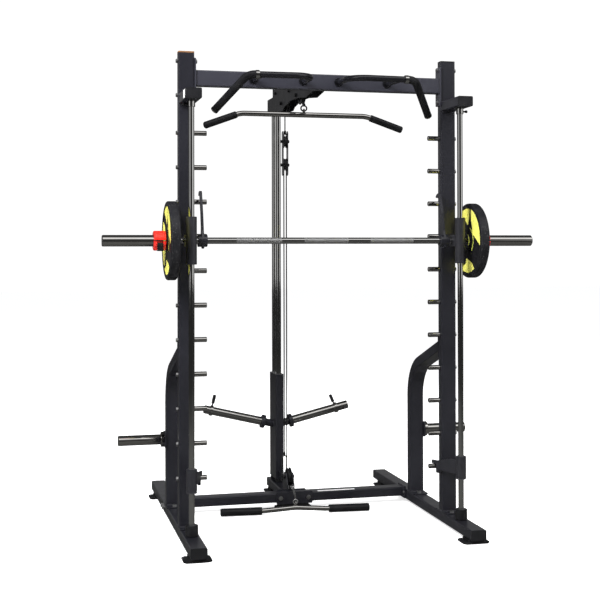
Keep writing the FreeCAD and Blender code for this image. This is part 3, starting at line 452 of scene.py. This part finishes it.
def strip(name, centre, u, v, n, w, h, m="strip", t=0.0008, r=0.003):
    """Thin blank plate with round corners and a raised middle, lying on a face."""
    u, v, n = Vector(u), Vector(v), Vector(n)
    me = bpy.data.meshes.new(name)
    bm = bmesh.new()

    def loop(inset, lift):
        vs = []
        for k, (sx, sy) in enumerate(((1, 1), (-1, 1), (-1, -1), (1, -1))):
            for j in range(5):
                a = math.radians(90 * k + 22.5 * j)
                rr = max(r - inset, 0.0004)
                q = centre + u * (sx * (w / 2 - r) + rr * math.cos(a)) + v * (sy * (h / 2 - r) + rr * math.sin(a)) + n * lift
                vs.append(bm.verts.new(q))
        return vs
    rings = [loop(0, 0.0001), loop(0, t * 0.6), loop(0.0006, t), loop(0.0016, t * 0.8)]
    for a, b in zip(rings, rings[1:]):
        for k in range(len(a)):
            j = (k + 1) % len(a)
            bm.faces.new((a[k], a[j], b[j], b[k]))
    bm.faces.new(rings[-1])
    bm.faces.new(list(reversed(rings[0])))
    bm.to_mesh(me)
    bm.free()
    return link(name, me, m)


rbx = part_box("rod_brackets")
strip("blank_tab_left", Vector((rbx[0][0], P(0, -175, 0).y, P(0, 0, 1918).z)), (0, 1, 0), (0, 0, 1), (-1, 0, 0), 0.046, 0.036)
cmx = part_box("cross_member")
strip("blank_strip_rear", Vector((0.215, P(0, 523 + 13, 0).y, P(0, 0, 76).z)), (1, 0, 0), (0, 1, 0), (0, 0, 1), 0.19, 0.018)


def weld(name, pts, r=0.0028, closed=False):
    """Rippled weld bead along a run of points."""
    pts = [Vector(p) for p in pts]
    if closed:
        pts = pts + [pts[0]]
    path = []
    for a, b in zip(pts, pts[1:]):
        n = max(int((b - a).length / 0.0016), 1)
        path += [a.lerp(b, k / n) for k in range(n)]
    path.append(pts[-1])
    me = bpy.data.meshes.new(name)
    bm = bmesh.new()
    prev = None
    m = 8
    for k, p in enumerate(path):
        d = (path[min(k + 1, len(path) - 1)] - path[max(k - 1, 0)]).normalized()
        up = Vector((0, 0, 1)) if abs(d.z) < 0.8 else Vector((0, 1, 0))
        a = d.cross(up).normalized()
        b = d.cross(a).normalized()
        rr = r * (0.82 + 0.22 * abs(math.sin(k * 0.9))) * (0.94 + 0.12 * random.random())
        ring = [bm.verts.new(p + (a * math.cos(2 * math.pi * j / m) + b * math.sin(2 * math.pi * j / m)) * rr) for j in range(m)]
        if prev:
            for j in range(m):
                bm.faces.new((prev[j], prev[(j + 1) % m], ring[(j + 1) % m], ring[j]))
        prev = ring
    bm.to_mesh(me)
    bm.free()
    return link(name, me, "weld")


def rect(axis, at, a0, a1, b0, b1, c=5.0):
    """Corner-clipped rectangle of points in the plane axis = at, in machine millimetres."""
    q = [(a0 + c, b0), (a1 - c, b0), (a1, b0 + c), (a1, b1 - c), (a1 - c, b1), (a0 + c, b1), (a0, b1 - c), (a0, b0 + c)]
    return [P(at, a, b) if axis == "x" else (P(a, at, b) if axis == "y" else P(a, b, at)) for a, b in q]


for tag, sx in (("left", -1), ("right", 1)):
    lo, hi = sorted((sx * 568, sx * 638))
    weld("weld_upright_%s" % tag, rect("z", 69.5, lo, hi, 0, 45), closed=True)
    weld("weld_brace_%s" % tag, rect("z", 69.5, lo, hi, 439, 484), closed=True)
    weld("weld_crossbar_%s" % tag, rect("x", sx * 561.6, 0, 45, 1978, 2048), closed=True)
    weld("weld_cross_member_%s" % tag, rect("x", sx * 561.6, 523, 593, 31, 76), closed=True)
    weld("weld_rod_bracket_%s" % tag, rect("y", -0.4, lo, hi, 1896, 1941), closed=True)

# ------------------------------------------------------------------ floor, light
def floor():
    me = bpy.data.meshes.new("floor")
    bm = bmesh.new()
    s = 30.0
    vs = [bm.verts.new((x, y, -0.0005)) for x, y in ((-s, -s), (s, -s), (s, s), (-s, s))]
    bm.faces.new(vs)
    bm.to_mesh(me)
    bm.free()
    o = bpy.data.objects.new("floor", me)
    bpy.context.scene.collection.objects.link(o)
    m, nt, b = mat("floor_pale")
    v = coords(nt)
    col = mixc(nt, noise(nt, v, 0.8, 3), (0.88, 0.88, 0.88), (0.91, 0.91, 0.91))
    b.inputs["Roughness"].default_value = 0.9
    b.inputs["Specular IOR Level"].default_value = 0.0
    path = node(nt, "ShaderNodeLightPath")
    dim = mixc(nt, path.outputs["Is Glossy Ray"], col, (0.055, 0.055, 0.053))
    nt.links.new(dim, b.inputs["Base Color"])
    b.inputs["Emission Color"].default_value = (1, 1, 1, 1)
    nt.links.new(maths(nt, "MULTIPLY", path.outputs["Is Camera Ray"], 0.66), b.inputs["Emission Strength"])
    me.materials.append(m)
    return o


floor()


def area(name, loc, target, size, power, size_y=None):
    l = bpy.data.lights.new(name, "AREA")
    l.energy = power
    l.size = size
    if size_y:
        l.shape = "RECTANGLE"
        l.size_y = size_y
    o = bpy.data.objects.new(name, l)
    bpy.context.scene.collection.objects.link(o)
    o.location = loc
    d = Vector(target) - Vector(loc)
    o.rotation_euler = d.to_track_quat("-Z", "Y").to_euler()
    return o


for l in (area("key", (-2.6, -2.6, 3.5), (0, 0, 1.95), 1.8, 300), area("fill", (2.8, -2.8, 3.2), (0, 0, 1.8), 2.0, 80),
          area("top", (0, -0.6, 4.4), (0, 0, 0), 3.2, 110), area("rim", (1.5, 4.5, 3.0), (0, 0, 1.2), 3.0, 70)):
    l.visible_glossy = False

w = bpy.data.worlds.new("studio")
bpy.context.scene.world = w
w.use_nodes = True
nt = w.node_tree
nt.nodes.clear()
out = nt.nodes.new("ShaderNodeOutputWorld")


def background(strength, colour=(1, 1, 1, 1)):
    n = nt.nodes.new("ShaderNodeBackground")
    n.inputs[0].default_value = colour
    n.inputs[1].default_value = strength
    return n


bg_cam = background(1.06)
bg_soft = background(0.38, (0.98, 0.99, 1.0, 1))
bg_gloss = background(1.7)
tc = nt.nodes.new("ShaderNodeTexCoord")
sep = nt.nodes.new("ShaderNodeSeparateXYZ")
nt.links.new(tc.outputs["Generated"], sep.inputs[0])
dx, dy, dz = sep.outputs
# softboxes above and beside the front, dark gaps between: bands round the Z axis near the horizon, and round X elsewhere
az = maths(nt, "DIVIDE", maths(nt, "ADD", maths(nt, "ARCTAN2", dx, maths(nt, "MULTIPLY", dy, -1.0)), math.pi), 2 * math.pi)
el = maths(nt, "DIVIDE", maths(nt, "ADD", maths(nt, "ARCTAN2", dz, maths(nt, "MULTIPLY", dy, -1.0)), math.pi), 2 * math.pi)


def deg(stops):
    return [((a + 180) / 360.0, c) for a, c in stops]


side = ramp(nt, az, deg([(-180, 0.12), (-165, 0.11), (-135, 0.02), (-88, 0.03), (-74, 0.34), (-56, 0.38), (-44, 0.03), (-22, 0.015),
                         (22, 0.02), (34, 0.42), (60, 0.50), (72, 0.10), (120, 0.13), (150, 0.12), (180, 0.12)]))
vert = ramp(nt, el, deg([(-180, 0.16), (-150, 0.05), (-90, 0.015), (-60, 0.03), (-38, 0.10), (-16, 0.05), (0, 0.015), (16, 0.10),
                         (36, 0.16), (44, 0.80), (60, 0.76), (68, 0.07), (100, 0.025), (150, 0.015), (180, 0.16)]))
near = ramp(nt, maths(nt, "ABSOLUTE", dz), [(0.20, 1.0), (0.42, 0.0)])
nt.links.new(mixc(nt, near, vert, side), bg_gloss.inputs[0])
lp = nt.nodes.new("ShaderNodeLightPath")
m1 = nt.nodes.new("ShaderNodeMixShader")
m2 = nt.nodes.new("ShaderNodeMixShader")
nt.links.new(lp.outputs["Is Glossy Ray"], m1.inputs[0])
nt.links.new(bg_soft.outputs[0], m1.inputs[1])
nt.links.new(bg_gloss.outputs[0], m1.inputs[2])
nt.links.new(lp.outputs["Is Camera Ray"], m2.inputs[0])
nt.links.new(m1.outputs[0], m2.inputs[1])
nt.links.new(bg_cam.outputs[0], m2.inputs[2])
nt.links.new(m2.outputs[0], out.inputs[0])
bpy.context.scene.view_settings.view_transform = "Standard"
